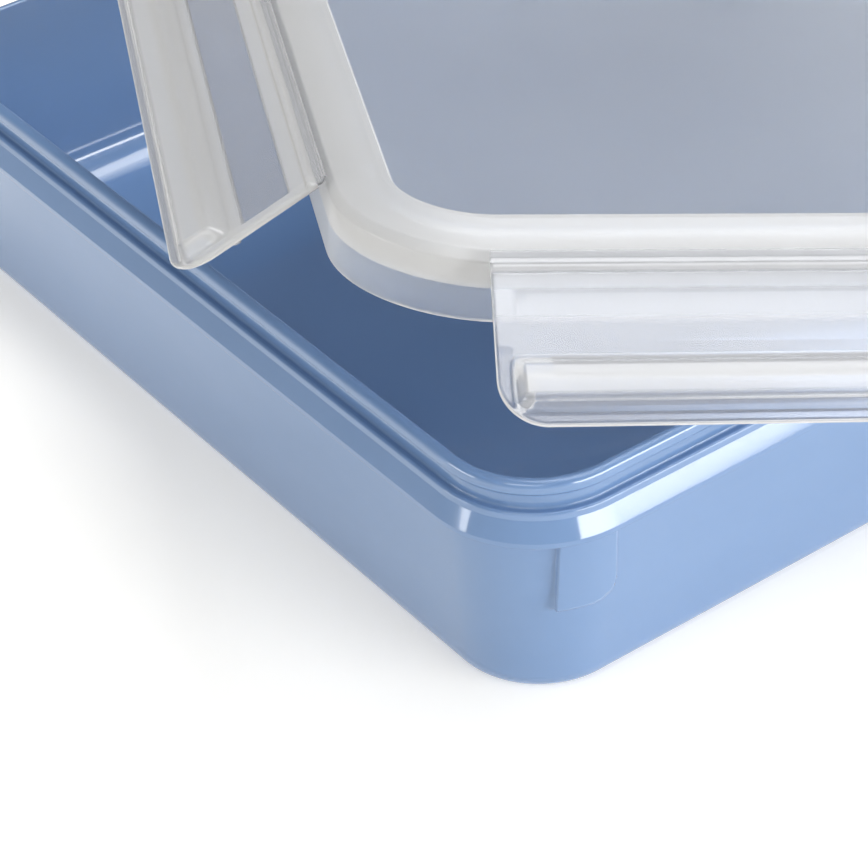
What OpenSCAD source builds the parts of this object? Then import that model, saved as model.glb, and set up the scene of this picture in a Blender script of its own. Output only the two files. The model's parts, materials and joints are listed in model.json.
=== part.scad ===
// Snap lid food container: an open tub, and a clear lid with a seal in its rim and a latch flap on
// each side. The lid stands lifted off the tub, turned and tipped, with its flaps swung open.
// The origin is the middle of the tub's base, +Z is up, and Y runs along the tub's longer side.

/* [Tub] */
// Width of the tub over its flange, along X
tub_w = 164; // [130:1:200]
// Length of the tub over its flange, along Y
tub_d = 220; // [180:1:280]
// Height of the tub's lip
tub_h = 50; // [46:1:60]
// Corner radius of the flange, seen from above
corner_r = 23.3; // [21:0.1:26]
// Height of the flange's lower edge below the lip
flange_drop = 12.2; // [11.5:0.1:12.6]
// How far the wall leans in between the flange and the base
wall_lean = 2; // [1:0.1:3]
// Thickness of the base
base_t = 2.2; // [1.5:0.1:3]

/* [Lid] */
// Gap in plan between the flange's outer face and the lid's skirt, which is wider
skirt_over = 0.8; // [0.6:0.1:1]
// Thickness of the lid's walls
lid_t = 1.4; // [1.2:0.1:1.6]
// Height of the lid's top edge above the skirt's lower edge
lid_h = 13.4; // [13:0.1:14]
// Height of the skirt's lower edge above the tub's base when the lid is on
lid_closed_z = 42.6; // [42.4:0.1:43]

/* [Latches] */
// From the hinge line to the end of the grip
flap_len = 26.6; // [26:0.1:28]
// From the lid's corner to the near end of the front and back flaps
flap_inset_short = 19.5; // [18:0.5:24]
// From the lid's corner to the near end of the left and right flaps
flap_inset_long = 25.5; // [18:0.5:30]
// How far each flap hangs below the lid's plane
flap_open = 36; // [20:1:60]
// Radius of the flap's two free corners
flap_corner_r = 7; // [4:0.5:8]
// How much further out the flap's ends are at the grip than at the hinge
flap_flare = 0.8; // [0:0.1:1]

/* [Where the lid is held] */
// Middle of the lid's lower edge
lid_at = [-8.3, -78.8, 104.5];
// Turns about X, then Y, then Z
lid_turned = [-7.85, 7.34, -28.45];

/* [Hidden] */
$fn = 96;

blue = [0.48, 0.62, 0.80];
clear = [0.80, 0.84, 0.88, 0.6];
milky = [0.86, 0.87, 0.89, 0.8];
white = [0.93, 0.93, 0.92];

// the tub's rim: x is the distance in from the flange's outer face
flange_z = tub_h - flange_drop;
ridge_z = flange_z + 6.4;
neck_in = 3.95;
lip_in = 3.1;
lip_r = 1.45;
wall_top_in = 3;
wall_foot_in = wall_top_in + wall_lean;
inner_top_in = 5.4;
inner_foot_in = wall_foot_in + 2.3;
foot_r = 3.5;
floor_r = 8;

// pads under the flange, on the half of each corner next to the front and back walls
pad_h = 17;
pad_in = 1.9;
pad_from = 62;
pad_to = 89;

// the lid's rim: x is the distance in from the skirt's outer face, y the height over its lower edge
lid_w = tub_w + 2 * skirt_over;
lid_d = tub_d + 2 * skirt_over;
lid_r = corner_r + skirt_over;
crest_z = 11;
window_in = 8.6;
window_z = lid_h - 2;
skirt_t = 1.2;
channel_in = 6.9;
channel_z = crest_z - 1.6;
plug_z = 3.5;
seal_gap = 0.1;
seal_z = channel_z - 1.65;
seal_leg_z = 5.4;
seal_leg_t = 1.1;

// the hinges: the axis stands out from the skirt, and the film joins a ledge on the rim to the flap
hinge_out = 1;
hinge_z = 10.8;
ledge_out = 0.3;
film_t = 0.5;
film_end = 0.8;

// the flap's section: x is the distance from the hinge, y outward through its thickness
plate_t = 1.2;
bead_at = 2;
bead_r = 1.1;
hook_at = 15.9;
hook_deep = 3;
hook_t = 2.3;
hook_end = 7.5;
window_near = 5;
window_far = 13.6;
window_border = 2.4;
window_deep = 0.4;
grip_rise = 2.4;

// the gate mark in the middle of the lid, a ball in a dimple that clears it all round
pip_r = 2;
pip_gap = 0.35;
pip_z = window_z - 0.8;
pip_boss_r = 5;
pip_boss_z = window_z - 3.6;

// points on an arc about c
function arc(c, r, from, to, n = 6) =
    [for (i = [0:n]) c + r * [cos(from + (to - from) * i / n), sin(from + (to - from) * i / n)]];

// A profile of [distance in, height] carried round a rectangle w by d with corners of radius r
module carry(profile, w, d, r) {
    for (side = [0, 1]) {
        mirror([side, 0, 0]) {
            translate([-w / 2, d / 2 - r, 0])
                rotate([90, 0, 0]) linear_extrude(d - 2 * r) polygon(profile);
            for (end = [0, 1])
                mirror([0, end, 0]) translate([r - w / 2, r - d / 2, 0]) rotate(180)
                    rotate_extrude(angle = 90) polygon([for (p = profile) [r - p.x, p.y]]);
        }
        mirror([0, side, 0])
            translate([r - w / 2, -d / 2, 0])
                rotate([90, 0, 90]) linear_extrude(w - 2 * r) polygon(profile);
    }
}

// A flat plate inside the carried profile's corners, between two heights
module middle(w, d, r, low, high) {
    translate([r - w / 2, r - d / 2, low]) cube([w - 2 * r, d - 2 * r, high - low]);
}

// --- tub -----------------------------------------------------------------------------------------

tub_profile = concat(
    [[corner_r, 0]],
    arc([wall_foot_in + foot_r, foot_r], foot_r, 270, 183),
    [[wall_top_in, flange_z], [0.3, flange_z], [0, flange_z + 0.3], [0, flange_z + 1.2],
     [1.9, flange_z + 5], [2.2, flange_z + 6.1], [2.6, ridge_z], [3.6, ridge_z],
     [neck_in, ridge_z - 0.3], [neck_in, flange_z + 9.1], [lip_in, flange_z + 9.8]],
    arc([lip_in + lip_r, tub_h - lip_r], lip_r, 180, 90),
    [[inner_top_in - 0.4, tub_h], [inner_top_in, tub_h - 0.4],
     [inner_foot_in, floor_r + base_t]],
    arc([inner_foot_in + floor_r, floor_r + base_t], floor_r, 190, 270),
    [[corner_r, base_t]]);

// a pad that follows the corner, one on each end of the front and back walls
pad_profile = [
    [wall_foot_in, flange_z - pad_h], [pad_in + 0.6, flange_z - pad_h],
    [pad_in, flange_z - pad_h + 0.6], [pad_in, flange_z + 0.2],
    [wall_top_in + 0.5, flange_z + 0.2]];

module corner_pad() {
    rotate(pad_from) rotate_extrude(angle = pad_to - pad_from)
        polygon([for (p = pad_profile) [corner_r - p.x, p.y]]);
}

module container() {
    color(blue) {
        carry(tub_profile, tub_w, tub_d, corner_r);
        middle(tub_w, tub_d, corner_r, 0, base_t);
        for (sx = [0, 1], sy = [0, 1])
            mirror([sx, 0, 0]) mirror([0, sy, 0])
                translate([tub_w / 2 - corner_r, tub_d / 2 - corner_r, 0]) corner_pad();
    }
}

// --- lid -----------------------------------------------------------------------------------------

// Puts what is drawn about the lid's lower edge where the lid is held
module held() {
    translate(lid_at) rotate(lid_turned) children();
}

lid_profile = [
    [0, 0], [0, 8.4], [0.3, crest_z - 0.7], [0.9, crest_z],
    [window_in - 0.9, lid_h - 0.1], [window_in - 0.2, lid_h], [window_in + 0.4, window_z],
    [lid_r, window_z], [lid_r, window_z - lid_t],
    [channel_in + lid_t, window_z - lid_t], [channel_in + lid_t, plug_z],
    [channel_in + 0.4, plug_z], [channel_in, plug_z + 1.2], [channel_in, channel_z],
    [skirt_t, channel_z], [skirt_t, 0]];

// the lengths of the four flaps and where each one's hinge runs
function flap_span(side) = side < 2 ? lid_w - 2 * flap_inset_short : lid_d - 2 * flap_inset_long;
side_front = 0;
side_back = 1;
side_left = 2;
side_right = 3;

// Puts what is drawn for the front, with x along the side and y out towards -Y, on a given side
module on_side(side) {
    turn = [0, 180, -90, 90][side];
    out = side < 2 ? lid_d / 2 : lid_w / 2;
    rotate(turn) translate([0, -out, 0]) children();
}

// the ledge on the rim that a flap's film hinge runs into
module hinge_ledge(side) {
    span = flap_span(side);
    on_side(side) translate([-span / 2, -ledge_out, crest_z - 0.8])
        cube([span, ledge_out + 0.8, 0.9]);
}

module lid() {
    color(clear) held() difference() {
        union() {
            carry(lid_profile, lid_w, lid_d, lid_r);
            middle(lid_w, lid_d, lid_r, window_z - lid_t, window_z);
            for (side = [0:3]) hinge_ledge(side);
            translate([0, 0, pip_boss_z]) cylinder(r = pip_boss_r, h = window_z - pip_boss_z);
        }
        translate([0, 0, pip_z]) sphere(r = pip_r + pip_gap);
    }
}

seal_profile = [
    [skirt_t + seal_gap, seal_leg_z], [skirt_t + seal_gap, channel_z - seal_gap],
    [channel_in - seal_gap, channel_z - seal_gap], [channel_in - seal_gap, seal_z],
    [skirt_t + seal_gap + seal_leg_t, seal_z], [skirt_t + seal_gap + seal_leg_t, seal_leg_z]];

module seal_ring() {
    color(white) held() carry(seal_profile, lid_w, lid_d, lid_r);
}

module gate_pip() {
    color(clear) held() translate([0, 0, pip_z]) sphere(r = pip_r);
}

// --- flaps ---------------------------------------------------------------------------------------

// Puts a section of [distance from the hinge, outward] on its hinge, hanging at the open angle
module on_hinge(side) {
    on_side(side) translate([0, -hinge_out, hinge_z])
        rotate([0, 90, 0]) rotate(flap_open - 90) mirror([0, 1, 0]) children();
}

half_t = plate_t / 2;
grip_back = 1.1;
flap_section = concat(
    [[film_end, -half_t], [film_end, half_t]],
    arc([bead_at, bead_r - half_t], bead_r, 150, 25, 4),
    [[window_near - 0.6, half_t], [window_far + 0.3, half_t], [window_far + 2.2, half_t + 1.5],
     [window_far + 4.6, half_t + grip_rise], [flap_len - 5.2, half_t + grip_rise - 0.2],
     [flap_len - 2, half_t + 0.8], [flap_len - 0.3, half_t]],
    arc([flap_len - half_t, 0], half_t, 60, -90, 4),
    [[flap_len - 2.6, -half_t], [flap_len - 3.6, grip_back], [hook_at + hook_t + 1.4, grip_back],
     [hook_at + hook_t, -half_t], [window_near, -half_t]]);

hook_section = [
    [hook_at, half_t], [hook_at, -half_t - hook_deep + 0.5], [hook_at + 0.5, -half_t - hook_deep],
    [hook_at + hook_t - 0.8, -half_t - hook_deep + 0.4], [hook_at + hook_t + 0.4, half_t]];

// the flap's outline, square at the hinge and round at its free corners, as a thick blank
module flap_blank(span) {
    deep = 12;
    grip = span / 2 + flap_flare;
    translate([0, 0, -deep / 2]) {
        linear_extrude(deep)
            polygon([[-span / 2, 0], [span / 2, 0], [grip, flap_len - flap_corner_r],
                     [-grip, flap_len - flap_corner_r]]);
        translate([flap_corner_r - grip, 1, 0])
            cube([2 * (grip - flap_corner_r), flap_len - 0.99, deep]);
        for (s = [-1, 1])
            translate([s * (grip - flap_corner_r), flap_len - flap_corner_r, 0])
                cylinder(r = flap_corner_r, h = deep);
    }
}

// turns an outline of [along, from the hinge] into the frame that the section is drawn in
module lay_outline() {
    multmatrix([[0, 1, 0, 0], [0, 0, 1, 0], [1, 0, 0, 0], [0, 0, 0, 1]]) children();
}

module flap(side) {
    span = flap_span(side);
    color(milky) held() on_hinge(side) {
        difference() {
            intersection() {
                translate([0, 0, -span / 2 - flap_flare])
                    linear_extrude(span + 2 * flap_flare) polygon(flap_section);
                lay_outline() flap_blank(span);
            }
            lay_outline() translate([window_border - span / 2, window_near, half_t - window_deep])
                cube([span - 2 * window_border, window_far - window_near, plate_t]);
        }
        translate([0, 0, hook_end - span / 2])
            linear_extrude(span - 2 * hook_end) polygon(hook_section);
    }
}

module latch_front() { flap(side_front); }
module latch_back() { flap(side_back); }
module latch_left() { flap(side_left); }
module latch_right() { flap(side_right); }

// the thin film between the ledge and the flap, bent at the hinge axis to the open angle
module film(side) {
    span = flap_span(side);
    along = [cos(flap_open), -sin(flap_open)];
    across = [sin(flap_open), cos(flap_open)] * film_t / 2;
    root = [ledge_out - hinge_out, film_t / 2];
    color(milky) held() on_side(side)
        translate([-span / 2, -hinge_out, hinge_z]) rotate([90, 0, 90]) mirror([1, 0, 0])
            linear_extrude(span)
                polygon([root, [0, film_t / 2], film_end * along + across,
                         film_end * along - across, [0, -film_t / 2], [root.x, -root.y]]);
}

module film_hinge_front() { film(side_front); }
module film_hinge_back() { film(side_back); }
module film_hinge_left() { film(side_left); }
module film_hinge_right() { film(side_right); }

container();
lid();
seal_ring();
gate_pip();
latch_front();
latch_back();
latch_left();
latch_right();
film_hinge_front();
film_hinge_back();
film_hinge_left();
film_hinge_right();
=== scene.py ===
"""Snap lid food container: the looks of the tub, lid, seal and flaps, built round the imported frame."""
import json
import math

import bmesh
import bpy
import numpy as np
from bpy.props import FloatProperty, FloatVectorProperty, PointerProperty
from mathutils import Matrix, Vector


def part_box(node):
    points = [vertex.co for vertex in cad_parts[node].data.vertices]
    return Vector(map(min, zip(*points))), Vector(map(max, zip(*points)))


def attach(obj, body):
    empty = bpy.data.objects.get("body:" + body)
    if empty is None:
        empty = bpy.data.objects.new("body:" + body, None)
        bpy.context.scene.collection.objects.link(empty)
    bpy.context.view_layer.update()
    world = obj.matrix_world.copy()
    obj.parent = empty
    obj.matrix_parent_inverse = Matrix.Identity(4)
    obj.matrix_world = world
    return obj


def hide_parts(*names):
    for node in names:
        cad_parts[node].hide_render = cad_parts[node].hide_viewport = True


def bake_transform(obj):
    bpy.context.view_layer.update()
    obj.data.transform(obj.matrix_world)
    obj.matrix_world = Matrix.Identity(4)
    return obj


bl_info = {
    "name": "Snap Lid Food Container",
    "version": (1, 0, 0),
    "blender": (4, 5, 0),
    "location": "3D View > Sidebar > Food Box",
    "description": "Makes a blue tub with a clear snap lid, its seal, flaps and film hinges",
    "category": "Object",
}

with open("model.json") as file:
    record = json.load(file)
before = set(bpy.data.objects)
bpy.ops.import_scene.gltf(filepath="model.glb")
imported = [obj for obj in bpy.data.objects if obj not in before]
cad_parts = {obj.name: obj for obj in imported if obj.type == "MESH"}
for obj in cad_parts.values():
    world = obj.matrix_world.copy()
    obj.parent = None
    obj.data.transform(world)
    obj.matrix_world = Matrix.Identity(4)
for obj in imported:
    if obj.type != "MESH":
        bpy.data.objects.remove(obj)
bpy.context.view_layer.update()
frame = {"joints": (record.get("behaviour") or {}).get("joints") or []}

MM = 0.001               # sizes below are millimetres, and the frame's are metres
SIDES = ("front", "back", "left", "right")
LONG_SIDES = ("left", "right")
JOINTS = {joint["name"]: joint for joint in frame["joints"]}
TUB_LOW, TUB_HIGH = (np.array(corner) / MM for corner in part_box("container"))


# --- where the lid is held -------------------------------------------------------------------

def hinge_axis(side):
    """The direction of a flap's hinge, which turns the flap shut by the right-hand rule."""
    return Vector(JOINTS[f"latch_{side}_hinge"]["axis"]).normalized()


def hinge_point(side):
    """The middle of a flap's hinge, in millimetres."""
    return Vector(JOINTS[f"latch_{side}_hinge"]["pos_m"]) / MM


LID_X = hinge_axis("front")
LID_Y = -hinge_axis("left")
LID_Z = LID_X.cross(LID_Y).normalized()
HINGE_OUT = 1.0          # from the skirt's outer face out to a hinge line
HINGE_Z = 10.8           # a hinge line's height above the skirt's lower edge
LID_W = (hinge_point("right") - hinge_point("left")).length - 2 * HINGE_OUT
LID_D = (hinge_point("back") - hinge_point("front")).length - 2 * HINGE_OUT
LID_AT = (hinge_point("front") + hinge_point("back")) / 2 - HINGE_Z * LID_Z


def lid_place():
    """From the lid's own millimetres, about the middle of its lower edge, to metres in the frame."""
    place = Matrix((LID_X, LID_Y, LID_Z)).transposed().to_4x4()
    place.translation = LID_AT
    return Matrix.Scale(MM, 4) @ place


def flap_place(side):
    """From a flap's own millimetres, x along the hinge, y away from it, z outward, to metres."""
    axis = hinge_axis(side)
    shut = math.radians(JOINTS[f"latch_{side}_hinge"]["range_deg"][1])
    swing = Matrix.Rotation(-shut, 3, axis)
    away, outward = swing @ -LID_Z, swing @ axis.cross(LID_Z)
    place = Matrix((-axis, away, outward)).transposed().to_4x4()
    place.translation = hinge_point(side)
    return Matrix.Scale(MM, 4) @ place


def flap_span(side, inset_short, inset_long):
    """A flap's length along its hinge."""
    return LID_D - 2 * inset_long if side in LONG_SIDES else LID_W - 2 * inset_short


# --- outlines --------------------------------------------------------------------------------

def smooth(low, high, value):
    """0 below low, 1 above high, and an S between them."""
    t = np.clip((value - low) / (high - low), 0, 1)
    return t * t * (3 - 2 * t)


def rounded(corners, steps=5):
    """The points of an open outline whose corners, each (x, y, radius), are turned on arcs."""
    points = []
    for i, (x, y, radius) in enumerate(corners):
        here = Vector((x, y))
        if radius == 0 or i in (0, len(corners) - 1):
            points.append(tuple(here))
            continue
        before = (Vector(corners[i - 1][:2]) - here).normalized()
        after = (Vector(corners[i + 1][:2]) - here).normalized()
        half = before.angle(after) / 2
        reach = radius / math.tan(half)
        centre = here + (before + after).normalized() * radius / math.sin(half)
        start, end = here + before * reach - centre, here + after * reach - centre
        turn = start.angle_signed(end)
        for step in range(steps + 1):
            arm = Matrix.Rotation(-turn * step / steps, 2) @ start
            points.append(tuple(centre + arm))
    return points


def split(points, longest):
    """The outline again, with no stretch longer than longest(x, y) at its middle."""
    out = [points[0]]
    for a, b in zip(points, points[1:]):
        a, b = np.array(a), np.array(b)
        middle = (a + b) / 2
        count = max(1, math.ceil(np.linalg.norm(b - a) / longest(*middle)))
        out += [tuple(a + (b - a) * i / count) for i in range(1, count + 1)]
    return out


def ring(width, depth, inset, radius, turns, runs):
    """Points round a rounded rectangle: each corner at the angles in turns, and then the side at
    the shares in runs. Also how far each point is round its corner, or along its side."""
    out, where = [], []
    half = np.array([width, depth]) / 2 - inset - radius
    signs = ((1, 1), (-1, 1), (-1, -1), (1, -1))
    for corner, sign in enumerate(signs):
        centre = half * sign
        for turn in turns:
            bearing = math.radians(90 * corner + turn)
            out.append(centre + radius * np.array([math.cos(bearing), math.sin(bearing)]))
            where.append((corner, turn, 0.0))
        end = math.radians(90 * corner + 90)
        edge = radius * np.array([math.cos(end), math.sin(end)])
        start, stop = centre + edge, half * signs[(corner + 1) % 4] + edge
        for part in runs:
            out.append(start + (stop - start) * part)
            where.append((corner, 90.0, part))
    return np.array(out), where


# --- meshes ----------------------------------------------------------------------------------

WELD = 1e-5              # vertices nearer than this are one
INNER_R = 2.0            # corner radius of an innermost ring, which one flat face closes


def add_piece(name, vertices, faces, material, body, slot, nodes, place=None):
    """A smooth closed piece, in millimetres until place puts it in the frame. It rides on a body,
    if there is one, and stands for its CAD nodes."""
    mesh = bpy.data.meshes.new(name)
    mesh.from_pydata([tuple(v) for v in vertices], [], faces)
    work = bmesh.new()
    work.from_mesh(mesh)
    bmesh.ops.remove_doubles(work, verts=work.verts, dist=WELD)
    bmesh.ops.recalc_face_normals(work, faces=work.faces)
    for face in work.faces:
        face.smooth = True
    work.to_mesh(mesh)
    work.free()
    mesh.transform(place or Matrix.Scale(MM, 4))
    piece = bpy.data.objects.new(name, mesh)
    bpy.context.scene.collection.objects.link(piece)
    mesh.materials.append(material)
    if body:
        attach(piece, body)
    if nodes:
        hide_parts(*nodes)
    weighted = piece.modifiers.new("even shading", "WEIGHTED_NORMAL")
    weighted.keep_sharp = True
    weighted.weight = 80
    return piece


def cap_faces(total, around):
    """One face over the first ring of around points, and one over the last."""
    return [tuple(range(around))[::-1], tuple(range(total - around, total))]


def rings_to_faces(count, around, closed):
    """Quads between count rings of around points, joined end to end if closed."""
    faces = []
    for i in range(count if closed else count - 1):
        j = (i + 1) % count
        for k in range(around):
            n = (k + 1) % around
            faces.append((i * around + k, i * around + n, j * around + n, j * around + k))
    return faces


# --- materials -------------------------------------------------------------------------------

MIX_FACTOR, MIX_LOW, MIX_HIGH = 0, 6, 7      # the colour inputs of a mix node, by number
MIX_RESULT = 2
BUMP_DEEP = 0.0002                           # metres
PLASTIC_IOR = 1.49
SILICONE_IOR = 1.41


class Recipe:
    """A material's node tree, with short ways to add and link nodes."""

    def __init__(self, name):
        self.material = bpy.data.materials.new(name)
        self.material.use_nodes = True
        self.tree = self.material.node_tree
        self.shader = self.tree.nodes["Principled BSDF"]
        self.place = self.tree.nodes.new("ShaderNodeTexCoord").outputs["Object"]

    def set(self, **values):
        """Sets the shader's own sockets, whose names have _ for a space."""
        for name, value in values.items():
            self.shader.inputs[name.replace("_", " ")].default_value = value

    def link(self, output, name):
        """Links an output to a socket of the shader."""
        self.tree.links.new(output, self.shader.inputs[name])

    def add(self, kind, values, **settings):
        """A node with some inputs, each a value or another node's output, and some settings."""
        node = self.tree.nodes.new(kind)
        for name, value in settings.items():
            setattr(node, name, value)
        for name, value in values.items():
            if isinstance(value, bpy.types.NodeSocket):
                self.tree.links.new(value, node.inputs[name])
            else:
                node.inputs[name].default_value = value
        return node

    def noise(self, scale, detail=3.0, stretch=None):
        """Noise at so many cycles a metre, stretched by three factors."""
        place = self.place
        if stretch:
            place = self.add("ShaderNodeMapping", {"Vector": place, "Scale": stretch}).outputs[0]
        return self.add("ShaderNodeTexNoise", {"Vector": place, "Scale": scale,
                                               "Detail": detail}).outputs["Fac"]

    def between(self, factor, low, high, start=0.3, end=0.7):
        """A number that goes from low to high as factor goes from start to end, which are about
        noise's own ends unless given."""
        values = {"Value": factor, "From Min": start, "From Max": end, "To Min": low, "To Max": high}
        return self.add("ShaderNodeMapRange", values).outputs["Result"]

    def blend(self, factor, low, high):
        """A colour between two colours, each red, green and blue or another node's output."""
        low, high = (c if isinstance(c, bpy.types.NodeSocket) else (*c, 1) for c in (low, high))
        values = {MIX_FACTOR: factor, MIX_LOW: low, MIX_HIGH: high}
        return self.add("ShaderNodeMix", values, data_type="RGBA").outputs[MIX_RESULT]

    def bump(self, height, strength, below=None):
        """Bumps a fifth of a millimetre deep at full strength, over other bumps if given."""
        values = {"Height": height, "Strength": strength, "Distance": BUMP_DEEP}
        if below:
            values["Normal"] = below
        return self.add("ShaderNodeBump", values).outputs["Normal"]


def shade(base, amount):
    """A colour times a number, which darkens it if that is under 1."""
    return [amount * part for part in base]


def blue_polypropylene(look):
    """Glossy blue moulding, with faint flow streaks and handling scuffs."""
    r = Recipe("blue_polypropylene")
    streaks = r.between(r.noise(18, 4, (1, 1, 2.5)), 0, 1)
    r.link(r.blend(streaks, look.blue_deep, look.blue_pale), "Base Color")
    r.link(r.between(r.noise(60, 4), look.tub_roughness, look.tub_roughness + 0.05), "Roughness")
    fine = r.bump(r.noise(2600, 2), 0.03)
    r.link(r.bump(r.noise(900, 5, (1, 0.25, 1)), 0.02, fine), "Normal")
    r.set(IOR=PLASTIC_IOR, Coat_Weight=0.75, Coat_Roughness=0.04)
    return r.material


def hazy_moulding(name, look, cool, clear, milky, roughness, bump):
    """Clear to milky plastic: light goes through it, blurred, and its haze scatters the rest. Each
    mesh says how milky it is at each vertex, in an attribute that also whitens some edges as a
    painted highlight. Its clearness and roughness each vary faintly between the two values of a pair."""
    r = Recipe(name)
    milk = r.add("ShaderNodeAttribute", {}, attribute_name="milk").outputs["Fac"]
    thin = r.between(r.noise(30, 3), *clear)
    # Milkier stretches let less light through and turn whiter; at marked edges this is a painted
    # highlight.
    r.link(r.between(milk, thin, milky, 0, 1), "Transmission Weight")
    warm = r.blend(r.noise(25, 3), look.haze, shade(look.haze, 0.98))
    r.link(r.blend(milk, cool, warm), "Base Color")
    r.link(r.between(r.noise(50, 4), *roughness), "Roughness")
    r.link(r.bump(r.noise(1800, 3), bump), "Normal")
    r.set(IOR=PLASTIC_IOR)
    return r.material


def clear_polypropylene(look):
    """The lid's plastic: clear in the window and the skirt, milky in the rim."""
    clear = (look.lid_clear, look.lid_clear - 0.03)
    roughness = (look.lid_roughness, look.lid_roughness + 0.06)
    return hazy_moulding("clear_polypropylene", look, look.haze_cool, clear, look.rim_milky,
                         roughness, 0.02)


def milky_polypropylene(look):
    """The flaps' plastic: milkier where it is thick."""
    clear = (look.flap_clear, look.flap_clear)
    roughness = (look.flap_roughness, look.flap_roughness + 0.04)
    return hazy_moulding("milky_polypropylene", look, look.flap_cool, clear, look.flap_milky,
                         roughness, 0.03)


def white_silicone(look):
    """Satin silicone, faintly dusty."""
    r = Recipe("white_silicone")
    r.link(r.blend(r.noise(120, 4), look.seal_white, shade(look.seal_white, 0.97)), "Base Color")
    r.link(r.between(r.noise(300, 4), 0.45, 0.6), "Roughness")
    r.link(r.bump(r.noise(3000, 2), 0.08), "Normal")
    r.set(IOR=SILICONE_IOR, Subsurface_Weight=0.2, Subsurface_Radius=(1, 1, 1),
          Subsurface_Scale=0.002)
    return r.material


def studio_paper(look, glow):
    """The pale floor: a light table under heavy paper, with the paper's tooth."""
    r = Recipe("studio_paper")
    r.link(r.blend(r.noise(40, 3), look.floor, shade(look.floor, 0.99)), "Base Color")
    r.link(r.bump(r.noise(1500, 3), 0.05), "Normal")
    r.set(Roughness=0.7, Emission_Color=(*look.glow_tint, 1), Emission_Strength=glow)
    return r.material


# --- settings --------------------------------------------------------------------------------

def length(name, description, default):
    """A size in millimetres, which Blender's own length unit, the metre, doesn't fit."""
    return FloatProperty(name=name, description=description, default=default, min=0.01)


def colour(name, description, default):
    """A colour in linear red, green and blue."""
    return FloatVectorProperty(name=name, description=description, default=default, size=3,
                               min=0, max=1, subtype="COLOR")


def share(name, description, default):
    """A number from 0 to 1."""
    return FloatProperty(name=name, description=description, default=default, min=0, max=1,
                         subtype="FACTOR")


def angle(name, description, degrees):
    """An angle, given in degrees."""
    return FloatProperty(name=name, description=description, default=math.radians(degrees),
                         unit="ROTATION")


def power(name, description, watts):
    """A light's power."""
    return FloatProperty(name=name, description=description, default=watts, unit="POWER")


class FOODBOX_PG_tub(bpy.types.PropertyGroup):
    """Sizes of the tub, whose lengths are in millimetres."""
    corner_r: length("Corner radius", "Radius of the flange's corners, seen from above", 23.3)
    flange_drop: length("Flange drop", "From the lip down to the flange's lower edge", 12.2)
    wall_top_in: length("Wall inset", "How far the wall is in from the flange, right under it", 3.0)
    wall_lean: length("Wall lean", "How much further in the wall is at the base", 2.0)
    base_t: length("Base thickness", "Thickness of the base", 2.2)
    pad_h: length("Pad height", "Height of the pads under the flange at the corners", 17.0)
    pad_turn: angle("Pad turn", "How far each pad reaches round its corner", 28.0)
    pad_run: length("Pad run", "How far each pad reaches along the front or back wall", 2.0)


class FOODBOX_PG_lid(bpy.types.PropertyGroup):
    """Sizes of the lid and its seal, in millimetres."""
    corner_r: length("Corner radius", "Radius of the skirt's corners, seen from above", 24.1)
    height: length("Height", "From the skirt's lower edge to the top of the window's edge", 13.4)
    crest_z: length("Crest", "Height of the rim's outer crest, where the film hinges start", 11.0)
    thick: length("Wall", "Thickness of the window and the plug wall", 1.4)
    window_in: length("Window inset", "From the skirt's outer face to the window's edge", 8.6)
    window_r: length("Window radius", "Radius of the window's corners", 13.8)


class FOODBOX_PG_flap(bpy.types.PropertyGroup):
    """Sizes of the flaps, in millimetres."""
    long: length("Length", "From the hinge line to the end of the grip", 26.6)
    inset_short: length("Short side inset", "From the lid's corner to the front and back flaps", 19.5)
    inset_long: length("Long side inset", "From the lid's corner to the left and right flaps", 25.5)
    corner_r: length("Corner radius", "Radius of the two free corners", 7.0)
    flare: length("Flare", "How much further out each end is at the grip than at the hinge", 0.8)
    grip_rise: length("Grip rise", "How far the grip stands out from the plate", 2.3)
    border: length("Border", "Width of the edge round the thin panel's ends", 2.4)


class FOODBOX_PG_look(bpy.types.PropertyGroup):
    """Colours and finishes."""
    blue_deep: colour("Deep blue", "Tub plastic, darker streaks", (0.142, 0.243, 0.434))
    blue_pale: colour("Pale blue", "Tub plastic, paler streaks", (0.156, 0.260, 0.456))
    tub_roughness: share("Tub roughness", "Roughness of the tub's surface", 0.10)
    haze: colour("Haze", "Colour of the lid plastic's own haze", (0.80, 0.805, 0.81))
    haze_cool: colour("Cool haze", "Colour of the lid's clear stretches", (0.74, 0.80, 0.90))
    lid_clear: share("Lid clearness", "Share of light through each face of the window", 0.84)
    rim_milky: share("Rim clearness", "Share of light through each face of the rim", 0.45)
    lid_roughness: share("Lid roughness", "How much the lid blurs what is behind it", 0.34)
    flap_cool: colour("Thin flap haze", "Colour of the flaps' thin stretches", (0.76, 0.785, 0.84))
    flap_clear: share("Panel clearness", "Share of light through a face of a flap's panel", 0.88)
    flap_milky: share("Grip clearness", "Share of light through a face of a flap's grip", 0.52)
    flap_roughness: share("Flap roughness", "How much a flap blurs what is behind it", 0.20)
    seal_white: colour("Seal", "Silicone seal", (0.90, 0.90, 0.89))
    floor: colour("Floor", "Studio floor", (0.94, 0.93, 0.90))
    glow_tint: colour("Floor glow", "Light that comes up through the floor", (1, 0.955, 0.88))


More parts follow.
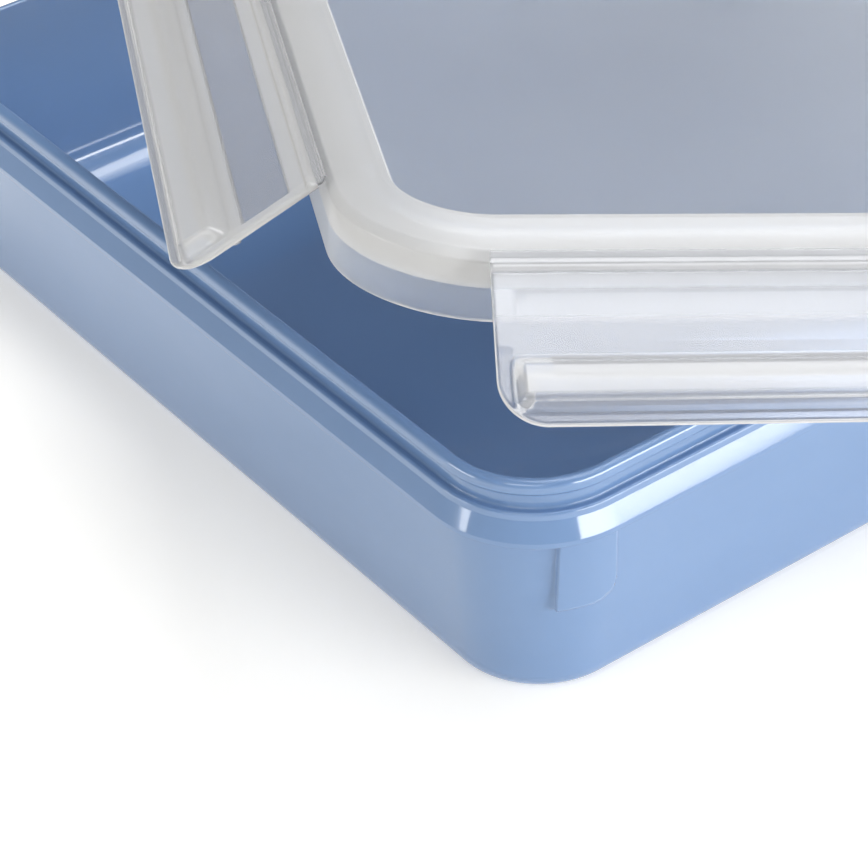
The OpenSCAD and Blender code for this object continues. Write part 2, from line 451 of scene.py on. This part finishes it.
class FOODBOX_PG_stage(bpy.types.PropertyGroup):
    """The camera and the lights."""
    aim: FloatVectorProperty(name="Aim", description="Point that the camera looks at", size=3,
                             default=(-0.07219, -0.07409, 0.045), subtype="TRANSLATION",
                             unit="LENGTH")
    away: FloatProperty(name="Distance", description="From the camera to the aim", default=0.56773,
                        unit="LENGTH", min=0.05)
    heading: angle("Heading", "Turn of the view from +Y towards +X", 35.371)
    height: angle("Elevation", "How steeply the camera looks down", 37.177)
    roll: angle("Roll", "Lean of the camera, clockwise", -2.682)
    lens: FloatProperty(name="Lens", description="Focal length on a 36 mm sensor", default=130.07,
                        unit="CAMERA", min=10)
    overhead: power("Overhead light", "Power of the overhead softbox", 12.0)
    front_right: power("Front right light", "Power of the front right softbox", 12.5)
    front_left: power("Front left light", "Power of the front left softbox", 3.0)
    back_left: power("Back left light", "Power of the back left softbox", 3.5)
    glow: FloatProperty(name="Floor glow", description="Strength of the light table under the box",
                        default=0.34, min=0)
    air: FloatProperty(name="Surround", description="Strength of the white surround",
                       default=0.12, min=0)


class FOODBOX_PG_box(bpy.types.PropertyGroup):
    """Everything about the food box."""
    tub: PointerProperty(type=FOODBOX_PG_tub)
    lid: PointerProperty(type=FOODBOX_PG_lid)
    flap: PointerProperty(type=FOODBOX_PG_flap)
    look: PointerProperty(type=FOODBOX_PG_look)
    stage: PointerProperty(type=FOODBOX_PG_stage)


def finish_of(recipe, look):
    """A material, made the first time that a piece asks for it."""
    return bpy.data.materials.get(recipe.__name__) or recipe(look)


# --- the tub ---------------------------------------------------------------------------------

# The rim, by distance in from the flange's face and height above the flange's lower edge.
FACE_TOP = (1.9, 5.0)
RIDGE = (2.25, 6.4)
NECK_IN = 3.95
NECK_TOP = 9.1
LIP_IN = 3.1
INNER_TOP_IN = 5.4
WALL_FOOT_T = 2.3        # thickness of the wall at its foot
FOOT_R = 3.5
FLOOR_R = 8.0

PAD_IN = 1.9             # a pad's inset at its top, and how fast it grows downward
PAD_DRAFT = 0.012
PAD_LEAN = 2.3           # degrees that a pad's far end leans over its height
PAD_ROUND = 5.0          # radius of its lower near corner
PAD_EDGE = 0.6           # width of its soft edge, and of the crisper far end's
PAD_END = 0.35

# Where the mesh has its points: degrees round a corner, closer at the pads' ends, and
# millimetres along a wall from a corner. A band is closer too, round the pads' lower edges.
CORNER_TURNS = np.unique(np.concatenate([
    np.linspace(0, 90, 31), np.arange(26, 30.1, 0.5), np.arange(60, 64.1, 0.5)]))
NEAR_END = np.array([0.3, 0.7, 1.1, 1.5, 1.8, 2.1, 2.4, 2.8, 3.4, 5.0, 9.0])
PAD_BAND = (-1.5, 6)
BAND_STEP = 0.45
WALL_STEP = 6.0


def tub_outline(tub):
    """Inset from the flange's face and height, from under the base, over the rim, to the floor."""
    lip = TUB_HIGH[2]
    flange = lip - tub.flange_drop
    foot_in = tub.wall_top_in + tub.wall_lean
    middle_in = tub.corner_r - INNER_R
    corners = [
        (middle_in, 0, 0),
        (foot_in, 0, FOOT_R),
        (tub.wall_top_in, flange, 0.5),
        (0, flange, 0.3),
        (0, flange + 1.2, 0.5),
        (FACE_TOP[0], flange + FACE_TOP[1], 0.6),
        (RIDGE[0], flange + RIDGE[1], 0.6),
        (NECK_IN, flange + RIDGE[1] - 0.2, 0.4),
        (NECK_IN, flange + NECK_TOP, 0.5),
        (LIP_IN, flange + NECK_TOP + 0.8, 0.6),
        (LIP_IN + 0.2, lip, 1.5),
        (INNER_TOP_IN, lip, 0.45),
        (foot_in + WALL_FOOT_T, tub.base_t, FLOOR_R),
        (middle_in, tub.base_t, 0)]
    pad_low = flange - tub.pad_h

    def longest(inset, z):
        on_wall = inset < foot_in and z < flange - 0.3
        near_pad_edge = pad_low + PAD_BAND[0] < z < pad_low + PAD_BAND[1]
        return BAND_STEP if on_wall and near_pad_edge else WALL_STEP
    return split(rounded(corners, 6), longest), flange, pad_low


def pad_share(tub, where, z, low):
    """1 on a corner's pad, 0 off it, and between the two on the pad's soft edge."""
    corner, turn, run = where
    side = TUB_HIGH[0] - TUB_LOW[0] - 2 * tub.corner_r
    per_degree = math.radians(1) * (tub.corner_r - tub.wall_top_in)
    if run:
        if corner in (1, 3):
            return 0.0
        along = -min(run, 1 - run) * side
    else:
        along = per_degree * (90 - turn if corner in (0, 2) else turn)
    lean = PAD_LEAN * (low + tub.pad_h - z) / tub.pad_h
    far, near = per_degree * (math.degrees(tub.pad_turn) + lean), -tub.pad_run
    dx, dz = near + PAD_ROUND - along, low + PAD_ROUND - z
    if dx > 0 and dz > 0:
        edge = PAD_ROUND - math.hypot(dx, dz)
    else:
        edge = min(along - near, z - low)
    return float(smooth(-0.1, PAD_EDGE, edge) * smooth(-0.1, PAD_END, far - along))


class FOODBOX_OT_tub(bpy.types.Operator):
    """Makes the blue tub, with its stepped rim and corner pads"""
    bl_idname = "foodbox.tub"
    bl_label = "Tub"

    def execute(self, context):
        box = context.scene.food_box
        tub = box.tub
        outline, flange, pad_low = tub_outline(tub)
        width, depth = (TUB_HIGH - TUB_LOW)[:2]
        ends = NEAR_END / (width - 2 * tub.corner_r)
        runs = np.concatenate([ends, np.linspace(0.12, 0.88, 9), 1 - ends[::-1]])
        foot_in = tub.wall_top_in + tub.wall_lean
        vertices = []
        for inset, z in outline:
            points, where = ring(width, depth, inset, tub.corner_r - inset, CORNER_TURNS, runs)
            on_wall = pad_low - 1 < z < flange + 0.01 and inset <= foot_in
            pad_in = PAD_IN + PAD_DRAFT * (flange - z)
            if on_wall and inset > pad_in:
                pushed, _ = ring(width, depth, pad_in, tub.corner_r - pad_in, CORNER_TURNS, runs)
                shares = np.array([pad_share(tub, w, z, pad_low) for w in where])[:, None]
                points = points + (pushed - points) * shares
            vertices += [(x, y, z) for x, y in points]
        around = len(points)
        faces = rings_to_faces(len(outline), around, closed=False)
        faces += cap_faces(len(vertices), around)
        add_piece("tub", vertices, faces, finish_of(blue_polypropylene, box.look), "container",
                  "blue_plastic", ["container"])
        return {"FINISHED"}


# --- the lid and its seal --------------------------------------------------------------------

LID_TURNS = np.linspace(0, 90, 25)
LID_RUNS = np.linspace(0, 1, 14)[1:-1]
WINDOW_DROP = 2.0        # from the rim's inner edge down to the window
CHANNEL_DROP = 1.6       # from the rim's crest down to the channel's top, which the seal fills
SEAL_GAP = 0.1           # between the seal and the channel's top and walls
SEAL_Z = 5.4             # the seal's lower edge
SKIRT_HIGHLIGHT = 0.3         # height of the milky stretch at the skirt's lower edge, a painted highlight along that edge
SKIRT_T = 1.2
PLUG_IN = 6.9            # the plug wall's outer face
PLUG_Z = 3.5             # the plug wall's lower edge
RIM_IN = 6.0             # where the milky rim ends
DIMPLE_R = 2.6
BOSS_R = 5.5
PIP_R = 0.6              # radius of the hole round the gate mark's foot


def lid_ring(lid, inset):
    """A ring of the lid, whose corners tighten from the skirt's radius to the window's."""
    tighter = (lid.corner_r - lid.window_in - lid.window_r) * smooth(4, lid.window_in, inset)
    radius = max(lid.corner_r - inset - tighter, 0.8)
    return ring(LID_W, LID_D, inset, radius, LID_TURNS, LID_RUNS)[0]


def disc_ring(radius):
    """A round ring with as many points as a lid ring, matched to it corner for corner."""
    angles = []
    for corner in range(4):
        angles += [90 * corner + 22.5 + turn / 2 for turn in LID_TURNS]
        angles += [90 * corner + 67.5 + 45 * part for part in LID_RUNS]
    angles = np.radians(angles)
    return radius * np.column_stack([np.cos(angles), np.sin(angles)])


def rim_milk(point, lid):
    """1 on the rim, over the seal, and on the skirt's very edge as a painted highlight; 0 elsewhere."""
    across = LID_W / 2 - lid.corner_r - abs(point.x)
    along = LID_D / 2 - lid.corner_r - abs(point.y)
    if across < 0 and along < 0:
        from_edge = lid.corner_r - math.hypot(across, along)
    else:
        from_edge = lid.corner_r + min(across, along)
    window = from_edge > RIM_IN and point.z < lid.height - WINDOW_DROP + 0.02
    skirt = point.z < SEAL_Z + 0.05
    # The skirt's lowest stretch is made milky white: a painted highlight where its edge catches the
    # light.
    skirt_highlight = point.z < SKIRT_HIGHLIGHT
    return float(skirt_highlight or not (window or skirt))


def mark_milk(piece, values):
    """Stores how milky a piece is at each vertex, painted highlights on edges too, for its material."""
    attribute = piece.data.attributes.new("milk", "FLOAT", "POINT")
    attribute.data.foreach_set("value", np.asarray(values, np.float32))


class FOODBOX_OT_lid(bpy.types.Operator):
    """Makes the clear lid: skirt, rim, seal channel, plug wall and sunken window"""
    bl_idname = "foodbox.lid"
    bl_label = "Lid"

    def execute(self, context):
        box = context.scene.food_box
        lid = box.lid
        window_z = lid.height - WINDOW_DROP
        under_z = window_z - lid.thick
        channel_z = lid.crest_z - CHANNEL_DROP
        middle_in = lid.corner_r - INNER_R
        plug_back = PLUG_IN + lid.thick
        corners = [
            (middle_in, window_z, 0),
            (lid.window_in + 0.5, window_z, 0.6),
            (lid.window_in - 0.1, lid.height, 0.25),
            (lid.window_in - 1.2, lid.height - 0.15, 1.5),
            (0.9, lid.crest_z + 0.1, 0.8),
            (0.0, channel_z, 1.0),
            (0.0, SEAL_Z + 0.15, 0),
            (0.0, SEAL_Z - 0.05, 0),
            (0.0, 0.5, 0),
            (0.0, 0.0, 0.3),
            (SKIRT_T, 0.0, 0.3),
            (SKIRT_T, 0.5, 0),
            (SKIRT_T, channel_z, 0.4),
            (PLUG_IN, channel_z, 0.4),
            (PLUG_IN, PLUG_Z + 0.8, 0.3),
            (PLUG_IN + 0.4, PLUG_Z, 0.25),
            (plug_back, PLUG_Z, 0.3),
            (plug_back, under_z, 0.6),
            (middle_in, under_z, 0)]
        rings = [(lid_ring(lid, inset), z) for inset, z in rounded(corners, 4)]
        boss_z = window_z - 3.6
        boss = [(BOSS_R + 0.8, under_z), (BOSS_R + 0.25, under_z - 0.25), (BOSS_R, under_z - 0.8),
                (BOSS_R, boss_z + 0.4), (BOSS_R - 0.4, boss_z), (PIP_R, boss_z)]
        dimple = [(PIP_R, window_z - 2.9), (1.6, window_z - 2.4), (2.15, window_z - 1.6),
                  (DIMPLE_R - 0.25, window_z - 0.5), (DIMPLE_R, window_z - 0.12),
                  (DIMPLE_R + 0.3, window_z), (BOSS_R, window_z)]
        rings = ([(disc_ring(r), z) for r, z in dimple] + rings
                 + [(disc_ring(r), z) for r, z in boss])
        vertices = [(x, y, z) for points, z in rings for x, y in points]
        around = len(rings[0][0])
        faces = rings_to_faces(len(rings), around, closed=False)
        faces += cap_faces(len(vertices), around)
        place = lid_place()
        shell = add_piece("lid_shell", vertices, faces, finish_of(clear_polypropylene, box.look),
                          "lid", "clear_plastic", ["lid"], place)
        back = place.inverted()
        mark_milk(shell, [rim_milk(back @ v.co, lid) for v in shell.data.vertices])
        return {"FINISHED"}


class FOODBOX_OT_seal(bpy.types.Operator):
    """Makes the silicone seal that fills the channel under the lid's rim"""
    bl_idname = "foodbox.seal"
    bl_label = "Seal"

    def execute(self, context):
        box = context.scene.food_box
        lid = box.lid
        top = lid.crest_z - CHANNEL_DROP - SEAL_GAP
        under = top - 1.55
        bead = top - 1.9
        outer, inner = SKIRT_T + SEAL_GAP, PLUG_IN - SEAL_GAP
        corners = [
            (4.0, top, 0), (outer, top, 0.4), (outer, SEAL_Z, 0.3), (2.4, SEAL_Z, 0.3),
            (2.4, under, 0.5), (3.2, under, 0.2), (3.6, bead, 0.2), (5.2, bead, 0.2),
            (5.6, under, 0.2), (inner, under, 0.3), (inner, top, 0.3), (4.0, top, 0)]
        outline = rounded(corners, 3)[:-1]
        rings = [(lid_ring(lid, inset), z) for inset, z in outline]
        vertices = [(x, y, z) for points, z in rings for x, y in points]
        faces = rings_to_faces(len(rings), len(rings[0][0]), closed=True)
        add_piece("seal", vertices, faces, finish_of(white_silicone, box.look), "lid",
                  "white_silicone", ["seal_ring"], lid_place())
        return {"FINISHED"}


class FOODBOX_OT_gate_mark(bpy.types.Operator):
    """Makes the moulding gate mark that stands in the dimple in the middle of the lid"""
    bl_idname = "foodbox.gate_mark"
    bl_label = "Gate mark"

    def execute(self, context):
        box = context.scene.food_box
        window_z = box.lid.height - WINDOW_DROP
        outline = [(0.35, 0.9), (0.6, 0.82), (0.75, 0.6), (0.85, 0.1), (1.1, -0.8),
                   (1.5, -1.3), (1.3, -2.0), (PIP_R, -2.5)]
        around = 48
        angles = np.linspace(0, 2 * math.pi, around, endpoint=False)
        vertices = [(r * math.cos(a), r * math.sin(a), window_z + z)
                    for r, z in outline for a in angles]
        faces = rings_to_faces(len(outline), around, closed=False)
        faces += cap_faces(len(vertices), around)
        add_piece("gate_mark", vertices, faces, finish_of(clear_polypropylene, box.look),
                  "lid_carrier", "clear_plastic", ["gate_pip"], lid_place())
        return {"FINISHED"}


# --- the flaps -------------------------------------------------------------------------------

# A flap's features, by their distance from the hinge: where each starts and stops, and for the
# grip also where its rise and its brow end.
FLAP_START = 0.7
PANEL = (5.0, 13.9)
GRIP = (15.7, 18.5, 23.5, 24.9)
HOOK = (15.9, 18.2)
BEAD_AT, BEAD_R, BEAD_UP = 1.75, 0.65, 0.4

PLATE = 0.6              # half of the plate's thickness
HOOK_DEEP = 3.0          # how far the hook stands in from the plate
HOOK_ENDS = {True: 4.5, False: 7.5}      # from a flap's end to its hook's, on a long side or not
HOOK_MILK, FILM_MILK = 0.6, 0.5
EDGE_ROUND = 0.55        # how far in from its edge the plate has its full thickness
FINE = np.array([0, 0.04, 0.12, 0.25, 0.42, 0.62])      # steps of the mesh across a sharp bend


def from_end(x, y, span, flap):
    """How far a point of the flap is from the nearer of its slightly flared ends."""
    flare = flap.flare * np.clip(y / (flap.long - flap.corner_r), 0, 1)
    return span / 2 + flare - np.abs(x)


def edge_distance(x, y, span, flap):
    """How far a point of the flap is inside its outline, which is round at the free corners."""
    r = flap.corner_r
    dx, dy = from_end(x, y, span, flap), flap.long - y
    free = np.where((dx < r) & (dy < r), r - np.hypot(r - dx, r - dy), np.minimum(dx, dy))
    return np.minimum(free, y - FLAP_START)


def outer_face(x, y, span, flap, long_side):
    """The flap's outer surface: bead, thin panel, raised grip and lip. The panel's edge is crisp
    on a long side and soft on a short one."""
    dx = from_end(x, y, span, flap)
    bead = np.sqrt(np.clip(BEAD_R ** 2 - (y - BEAD_AT) ** 2, 0, None)) + BEAD_UP
    z = np.where(np.abs(y - BEAD_AT) < BEAD_R, np.maximum(PLATE, bead), PLATE)
    step, deep = (0.35, 0.38) if long_side else (1.4, 0.2)
    panel = (smooth(PANEL[0], PANEL[0] + step, y) * smooth(0, step, PANEL[1] - y)
             * smooth(flap.border, flap.border + step, dx))
    z -= deep * panel
    start, top, brow, foot = GRIP
    crown = 0.25 * (1 - ((y - (top + brow) / 2) / (brow - top) * 1.4) ** 2)
    rise = (smooth(start, top, y) * smooth(0, foot - brow, foot - y)
            * smooth(flap.border - 0.6, flap.border + 1.3, dx))
    z += (flap.grip_rise + np.clip(crown, 0, None)) * rise
    return z


def inner_face(x, y, span, flap):
    """The flap's inner surface, hollow behind the grip."""
    dx = from_end(x, y, span, flap)
    hollow = (smooth(HOOK[1] + 0.6, HOOK[1] + 1.8, y) * smooth(0, 1.0, GRIP[3] - 0.9 - y)
              * smooth(flap.border + 1.2, flap.border + 2.6, dx))
    return -PLATE + (flap.grip_rise - 0.3) * hollow


def flap_grid(span, flap):
    """Points over the flap: rows from the hinge to the lip, columns from end to end."""
    r = flap.corner_r
    rows = np.unique(np.round(np.concatenate([
        FLAP_START + FINE, np.arange(1.5, 3.4, 0.2), np.arange(3.6, 5, 0.5),
        PANEL[0] + FINE, np.arange(6, 13.4, 1.5), PANEL[1] - FINE, np.arange(14.4, 24.9, 0.35),
        flap.long - FINE, np.arange(25.0, 26.0, 0.25)]), 3))
    ends = np.unique(np.round(np.concatenate([
        FINE, np.arange(0.9, flap.border + 2.8, 0.2), [6, 7.5, 9, 12, 16, 22]]), 3))
    middle = np.linspace(-1, 1, 13)[1:-1] * (span / 2 - 30)
    grid_x, grid_y = [], []
    for y in rows:
        over = max(0.0, y - (flap.long - r))
        inset = r - math.sqrt(max(r * r - over * over, 0))
        half = span / 2 + flap.flare * min(y / (flap.long - r), 1) - inset
        xs = np.concatenate([-half + ends, middle, (half - ends)[::-1]])
        grid_x.append(xs)
        grid_y.append(np.full_like(xs, y))
    return np.array(grid_x), np.array(grid_y)


def flap_mesh(span, flap, long_side):
    """A flap's vertices and faces, in its own millimetres."""
    x, y = flap_grid(span, flap)
    inside = np.clip(edge_distance(x, y, span, flap) / EDGE_ROUND, 0, 1)
    full = np.sqrt(1 - (1 - inside) ** 2)
    outer, inner = outer_face(x, y, span, flap, long_side), inner_face(x, y, span, flap)
    rim = np.clip(outer - PLATE, 0, None)
    outer = rim + (outer - rim) * full
    inner = inner * full
    count = x.size
    rows, columns = x.shape
    vertices = np.concatenate([np.column_stack([x.ravel(), y.ravel(), outer.ravel()]),
                               np.column_stack([x.ravel(), y.ravel(), inner.ravel()])])
    faces = []
    for i in range(rows - 1):
        for j in range(columns - 1):
            a = i * columns + j
            b, c, d = a + 1, a + columns + 1, a + columns
            faces += [(a, b, c, d), (a + count, d + count, c + count, b + count)]
    border = ([(0, j) for j in range(columns)] + [(i, columns - 1) for i in range(1, rows)]
              + [(rows - 1, j) for j in range(columns - 2, -1, -1)]
              + [(i, 0) for i in range(rows - 2, 0, -1)])
    loop = [i * columns + j for i, j in border]
    for a, b in zip(loop, loop[1:] + loop[:1]):
        faces.append((b, a, a + count, b + count))
    return vertices, faces


def milk_of(points, span, flap, long_side):
    """How milky the plastic looks: most at the grip and the edges, and least in the lip, and in the
    panel of a long side's flap or the web of a short side's, between its bead and its panel. The
    extra milk at the edges, and near the ends of a long side's flap, is a painted highlight."""
    x, y = np.array(points)[:, :2].T
    dx = from_end(x, y, span, flap)
    panel = smooth(PANEL[0] - 0.1, PANEL[0] + 0.3, y) * smooth(-0.1, 0.3, PANEL[1] - y)
    panel *= smooth(flap.border - 0.1, flap.border + 0.3, dx)
    lip = smooth(22.4, 23.2, y)
    near_end = smooth(flap.border + 0.6, flap.border - 0.4, dx)
    if long_side:
        # Near its ends a long side's flap is made milkier: a painted highlight along its end border.
        milk = 0.95 - 0.8 * panel - 0.4 * lip + 0.1 * near_end
    else:
        web = smooth(2.3, 2.6, y) * smooth(5.4, 4.6, y)
        plate = smooth(4.6, 5.4, y) * smooth(GRIP[0] + 0.4, GRIP[0] - 0.4, y)
        clear_end = smooth(GRIP[0] - 1.8, GRIP[0] - 1, y) * near_end
        milk = 0.7 - 0.22 * plate - 0.6 * lip - 0.5 * clear_end - 0.7 * web
        milk -= 0.12 * smooth(9, 10.5, y) * plate
    # Edges are made milky white: a painted highlight where the flap's edges catch the light.
    edge = smooth(0.3, 0.0, edge_distance(x, y, span, flap))
    return np.maximum(np.clip(milk, 0, 1), edge)


def hook_mesh(span):
    """The hook rib under a flap, in the flap's own millimetres."""
    low, high = HOOK
    deep = -PLATE - HOOK_DEEP
    inside = 0.2             # the rib starts inside the plate
    corners = [(low + 1, inside, 0), (low, inside, 0), (low, -PLATE, 0), (low, deep, 0.4),
               (high - 0.9, deep + 0.1, 0.6), (high, -PLATE - 0.6, 0.8),
               (high + 0.5, -PLATE, 0), (high + 0.5, inside, 0)]
    outline = rounded(corners, 4)
    near = [(-span / 2, 0.35), (-span / 2 + 0.3, 0.75), (-span / 2 + 1.2, 1.0)]
    places = near + [(-x, reach) for x, reach in near[::-1]]
    vertices = []
    for x, reach in places:
        vertices += [(x, y, z if z > -PLATE else -PLATE + (z + PLATE) * reach) for y, z in outline]
    faces = rings_to_faces(len(places), len(outline), closed=False)
    faces += cap_faces(len(vertices), len(outline))
    return vertices, faces


class FOODBOX_OT_flaps(bpy.types.Operator):
    """Makes the four latch flaps, each with its thin panel, grip and hook rib"""
    bl_idname = "foodbox.flaps"
    bl_label = "Flaps"

    def execute(self, context):
        box = context.scene.food_box
        flap = box.flap
        finish = finish_of(milky_polypropylene, box.look)
        for side in SIDES:
            body = f"latch_{side}"
            long_side = side in LONG_SIDES
            span = flap_span(side, flap.inset_short, flap.inset_long)
            place = flap_place(side)
            back = place.inverted()
            piece = add_piece(f"flap_{side}", *flap_mesh(span, flap, long_side), finish, body,
                              "milky_plastic", [body], place)
            points = [back @ v.co for v in piece.data.vertices]
            mark_milk(piece, milk_of(points, span, flap, long_side))
            hook_span = span - 2 * HOOK_ENDS[long_side]
            rib = add_piece(f"hook_{side}", *hook_mesh(hook_span), finish, body,
                            "milky_plastic", [], place)
            mark_milk(rib, [HOOK_MILK] * len(rib.data.vertices))
        return {"FINISHED"}


FILM_T = 0.44
FILM_REACH = 1.15        # how far a film goes each way from the hinge line, into rim and bead
FILM_STEPS = 12


def film_mesh(span, hang):
    """A strip from inside the rim to inside the bead, level on the rim's side of the hinge."""
    spine, normals = [], []
    for step in range(FILM_STEPS + 1):
        t = -FILM_REACH + 2 * FILM_REACH * step / FILM_STEPS
        if t < 0:
            bend = hang * (1 - float(smooth(-0.45, 0.45, t)))
            spine.append(Vector((t * math.cos(hang), -t * math.sin(hang))))
            normals.append(Vector((math.sin(bend), math.cos(bend))))
        else:
            spine.append(Vector((t, 0)))
            normals.append(Vector((0, 1)))
    half = FILM_T / 2
    sides = [p + n * half for p, n in zip(spine, normals)]
    sides += [p - n * half for p, n in zip(spine[::-1], normals[::-1])]
    vertices = [(x, y, z) for x in (-span / 2, span / 2) for y, z in sides]
    around = len(sides)
    faces = rings_to_faces(2, around, closed=False)
    for i in range(FILM_STEPS):
        a, b, c, d = i, i + 1, around - 2 - i, around - 1 - i
        faces += [(a, b, c, d), (d + around, c + around, b + around, a + around)]
    return vertices, faces


class FOODBOX_OT_film_hinges(bpy.types.Operator):
    """Makes the four thin films that bend between the lid and its flaps"""
    bl_idname = "foodbox.film_hinges"
    bl_label = "Film hinges"

    def execute(self, context):
        box = context.scene.food_box
        flap = box.flap
        finish = finish_of(milky_polypropylene, box.look)
        hang = math.radians(90 - JOINTS["latch_front_hinge"]["range_deg"][1])
        for side in SIDES:
            span = flap_span(side, flap.inset_short, flap.inset_long) - 0.4
            place = flap_place(side)
            piece = add_piece(f"film_{side}", *film_mesh(span, hang), finish, None,
                              "milky_plastic", [], place)
            mark_milk(piece, [FILM_MILK] * len(piece.data.vertices))
            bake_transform(piece)
            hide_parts(f"film_hinge_{side}")
        return {"FINISHED"}


# --- the stage -------------------------------------------------------------------------------

# The stage's places and sizes are in metres.
SOFTBOXES = (            # each one's name, which is its power's too, its place, width and height
    ("overhead", (0.28, -0.12, 1.15), 0.8, 0.8),
    ("front_right", (0.35, -1.20, 0.36), 1.0, 0.4),
    ("front_left", (-0.75, -0.65, 0.95), 0.7, 0.4),
    ("back_left", (-1.14, 0.37, 0.29), 0.65, 0.25))
LIT_PLACE = Vector((0, 0, 0.06))
FLOOR_HALF = 6
SWEEP_FROM = 3           # how far from the middle the floor starts to rise
SWEEP_RISE = 0.25


def softbox(name, at, width, height, watts):
    """A rectangular soft light at a place, turned to the box."""
    light = bpy.data.lights.new(name, "AREA")
    light.shape = "RECTANGLE"
    light.size, light.size_y = width, height
    light.energy = watts
    lamp = bpy.data.objects.new(name, light)
    lamp.location = at
    lamp.rotation_euler = (LIT_PLACE - Vector(at)).to_track_quat("-Z", "Y").to_euler()
    bpy.context.scene.collection.objects.link(lamp)


def add_camera(stage):
    """The camera, at its distance from its aim, looking down and leaning as the stage says."""
    data = bpy.data.cameras.new("camera")
    data.lens, data.sensor_width = stage.lens, 36
    data.clip_start = 0.01
    camera = bpy.data.objects.new("camera", data)
    flat = Vector((math.sin(stage.heading), math.cos(stage.heading), 0))
    ahead = math.cos(stage.height) * flat - math.sin(stage.height) * Vector((0, 0, 1))
    turn = ahead.to_track_quat("-Z", "Y").to_matrix() @ Matrix.Rotation(stage.roll, 3, "Z")
    place = Matrix.Translation(Vector(stage.aim) - stage.away * ahead)
    camera.matrix_world = place @ turn.to_4x4()
    bpy.context.scene.collection.objects.link(camera)
    bpy.context.scene.camera = camera


def add_surround(scene, strength):
    """An even white light from all round."""
    scene.world = scene.world or bpy.data.worlds.new("surround")
    scene.world.use_nodes = True
    surround = scene.world.node_tree.nodes["Background"]
    surround.inputs["Color"].default_value = (1, 1, 1, 1)
    surround.inputs["Strength"].default_value = strength


def add_floor(material):
    """A wide floor that rises in a smooth sweep far behind the box."""
    mesh = bpy.data.meshes.new("floor")
    work = bmesh.new()
    grid = bmesh.ops.create_grid(work, x_segments=40, y_segments=40, size=FLOOR_HALF)
    for vertex in grid["verts"]:
        out = max(abs(vertex.co.x), abs(vertex.co.y)) - SWEEP_FROM
        vertex.co.z = SWEEP_RISE * max(0, out) ** 2
    for face in work.faces:
        face.smooth = True
    work.to_mesh(mesh)
    work.free()
    floor = bpy.data.objects.new("floor", mesh)
    mesh.materials.append(material)
    bpy.context.scene.collection.objects.link(floor)


class FOODBOX_OT_stage(bpy.types.Operator):
    """Makes the camera, the soft lights, the white surround and the pale floor"""
    bl_idname = "foodbox.stage"
    bl_label = "Stage"

    def execute(self, context):
        scene = context.scene
        stage = scene.food_box.stage
        add_camera(stage)
        for name, at, width, height in SOFTBOXES:
            softbox(name, at, width, height, getattr(stage, name))
        add_surround(scene, stage.air)
        scene.view_settings.view_transform = "Standard"
        add_floor(studio_paper(scene.food_box.look, stage.glow))
        return {"FINISHED"}


# --- the panel -------------------------------------------------------------------------------

OPERATORS = (FOODBOX_OT_stage, FOODBOX_OT_tub, FOODBOX_OT_lid, FOODBOX_OT_seal,
             FOODBOX_OT_gate_mark, FOODBOX_OT_flaps, FOODBOX_OT_film_hinges)


class FOODBOX_PT_panel(bpy.types.Panel):
    """Lists the pieces of the food box"""
    bl_idname = "FOODBOX_PT_panel"
    bl_label = "Food Box"
    bl_space_type = "VIEW_3D"
    bl_region_type = "UI"
    bl_category = "Food Box"

    def draw(self, context):
        box = context.scene.food_box
        for operator in OPERATORS:
            self.layout.operator(operator.bl_idname)
        for group in (box.tub, box.lid, box.flap, box.look, box.stage):
            column = self.layout.box().column()
            for name in group.bl_rna.properties.keys():
                if name not in ("rna_type", "name"):
                    column.prop(group, name)


GROUPS = (FOODBOX_PG_tub, FOODBOX_PG_lid, FOODBOX_PG_flap, FOODBOX_PG_look, FOODBOX_PG_stage,
          FOODBOX_PG_box)
CLASSES = (*GROUPS, *OPERATORS, FOODBOX_PT_panel)


def register():
    """Registers every class and hangs the settings on the scene."""
    for cls in CLASSES:
        bpy.utils.register_class(cls)
    bpy.types.Scene.food_box = PointerProperty(type=FOODBOX_PG_box)


def unregister():
    """Takes the settings and the classes away again."""
    del bpy.types.Scene.food_box
    for cls in reversed(CLASSES):
        bpy.utils.unregister_class(cls)


def main():
    """Makes every piece and the stage, in metres."""
    register()
    for operator in OPERATORS:
        group, name = operator.bl_idname.split(".")
        getattr(getattr(bpy.ops, group), name)()


if __name__ == "__main__":
    main()
